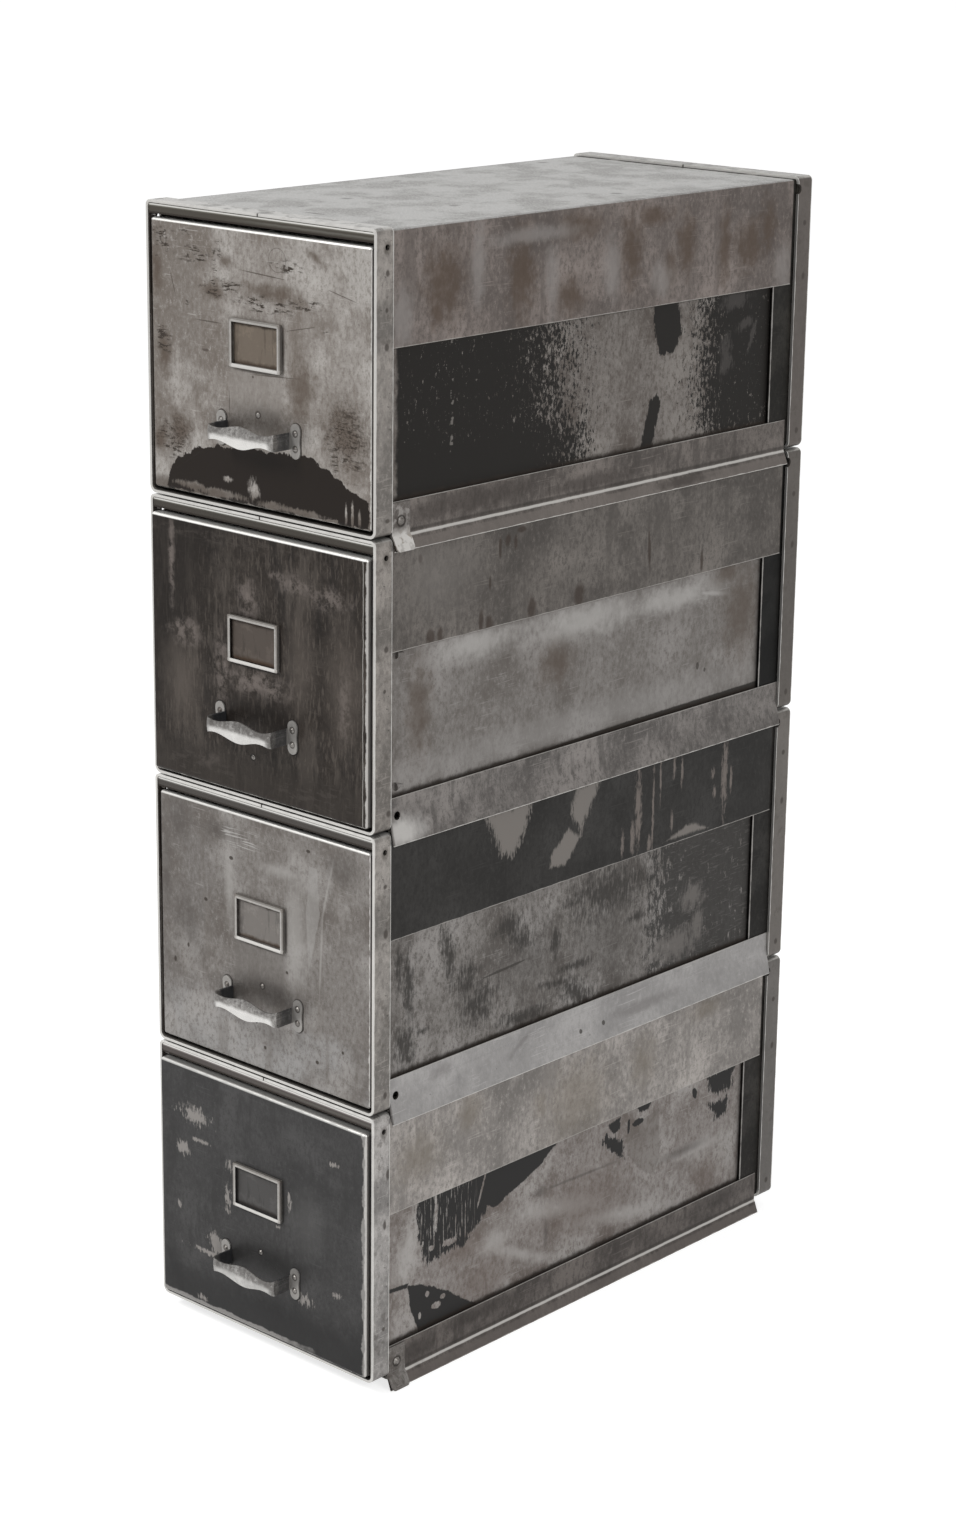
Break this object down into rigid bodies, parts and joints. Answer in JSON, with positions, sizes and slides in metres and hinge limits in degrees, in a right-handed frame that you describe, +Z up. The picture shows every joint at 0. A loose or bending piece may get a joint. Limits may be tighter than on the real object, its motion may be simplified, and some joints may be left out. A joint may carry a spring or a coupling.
{
  "type": "steel file drawer stack",
  "caption": "Stack of sheet-steel file drawer units, each a banded case with one deep sliding drawer, stamped pull and label frame.",
  "frame": {"origin": "on the floor, under the middle of the stack with its drawers closed", "axes": "+X to the right of someone facing the drawers, +Y from front to back, +Z up"},
  "size_m": [0.3444, 0.73, 1.2438],
  "materials": {
    "case_steel": "bare sheet steel, worn and burnished, with brown patina",
    "panel_paint": "worn charcoal paint with rubbed bare patches",
    "band_steel": "bare strip steel with polished edges",
    "rail_steel": "bare sheet steel with brown patina",
    "drawer_steel": "bare sheet steel with pits, scratches and paint left along the bottom",
    "drawer_paint": "charcoal paint, rubbed bare at the edges",
    "inner_steel": "plain sheet steel, dulled",
    "fitting_steel": "stamped steel, polished by use",
    "rivet_steel": "steel, dulled"
  },
  "bodies": {
    "cabinet": {"case_rivets": "rivet_steel", "rail_end_brackets": "rail_steel", "unit_1_back_panel": "panel_paint", "unit_1_drawer_tracks": "inner_steel", "unit_1_front_band": "band_steel", "unit_1_left_rail": "rail_steel", "unit_1_left_side_panel": "panel_paint", "unit_1_rear_band": "band_steel", "unit_1_right_rail": "rail_steel", "unit_1_right_side_panel": "panel_paint", "unit_1_top_cover": "case_steel", "unit_2_back_panel": "panel_paint", "unit_2_drawer_tracks": "inner_steel", "unit_2_front_band": "band_steel", "unit_2_left_rail": "rail_steel", "unit_2_left_side_panel": "case_steel", "unit_2_rear_band": "band_steel", "unit_2_right_rail": "rail_steel", "unit_2_right_side_panel": "case_steel", "unit_2_top_cover": "case_steel", "unit_3_back_panel": "panel_paint", "unit_3_drawer_tracks": "inner_steel", "unit_3_front_band": "band_steel", "unit_3_left_rail": "rail_steel", "unit_3_left_side_panel": "panel_paint", "unit_3_rear_band": "band_steel", "unit_3_right_rail": "rail_steel", "unit_3_right_side_panel": "panel_paint", "unit_3_top_cover": "panel_paint", "unit_4_back_panel": "panel_paint", "unit_4_drawer_tracks": "inner_steel", "unit_4_front_band": "band_steel", "unit_4_left_rail": "rail_steel", "unit_4_left_side_panel": "case_steel", "unit_4_rear_band": "band_steel", "unit_4_right_rail": "rail_steel", "unit_4_right_side_panel": "case_steel", "unit_4_top_cover": "case_steel"},
    "drawer_1": {"drawer_1_front": "drawer_steel", "drawer_1_label_holder": "fitting_steel", "drawer_1_pull": "fitting_steel", "drawer_1_rivets": "rivet_steel", "drawer_1_tray": "inner_steel"},
    "drawer_2": {"drawer_2_front": "drawer_paint", "drawer_2_label_holder": "fitting_steel", "drawer_2_pull": "fitting_steel", "drawer_2_rivets": "rivet_steel", "drawer_2_tray": "inner_steel"},
    "drawer_3": {"drawer_3_front": "drawer_steel", "drawer_3_label_holder": "fitting_steel", "drawer_3_pull": "fitting_steel", "drawer_3_rivets": "rivet_steel", "drawer_3_tray": "inner_steel"},
    "drawer_4": {"drawer_4_front": "drawer_paint", "drawer_4_label_holder": "fitting_steel", "drawer_4_pull": "fitting_steel", "drawer_4_rivets": "rivet_steel", "drawer_4_tray": "inner_steel"}
  },
  "joints": [
    {"name": "drawer_1_slide", "type": "slide", "parent": "cabinet", "child": "drawer_1", "axis": [0, -1, 0], "range_m": [0, 0.52]},
    {"name": "drawer_2_slide", "type": "slide", "parent": "cabinet", "child": "drawer_2", "axis": [0, -1, 0], "range_m": [-0.006, 0.52]},
    {"name": "drawer_3_slide", "type": "slide", "parent": "cabinet", "child": "drawer_3", "axis": [0, -1, 0], "range_m": [0, 0.52]},
    {"name": "drawer_4_slide", "type": "slide", "parent": "cabinet", "child": "drawer_4", "axis": [0, -1, 0], "range_m": [-0.006, 0.52]}
  ]
}
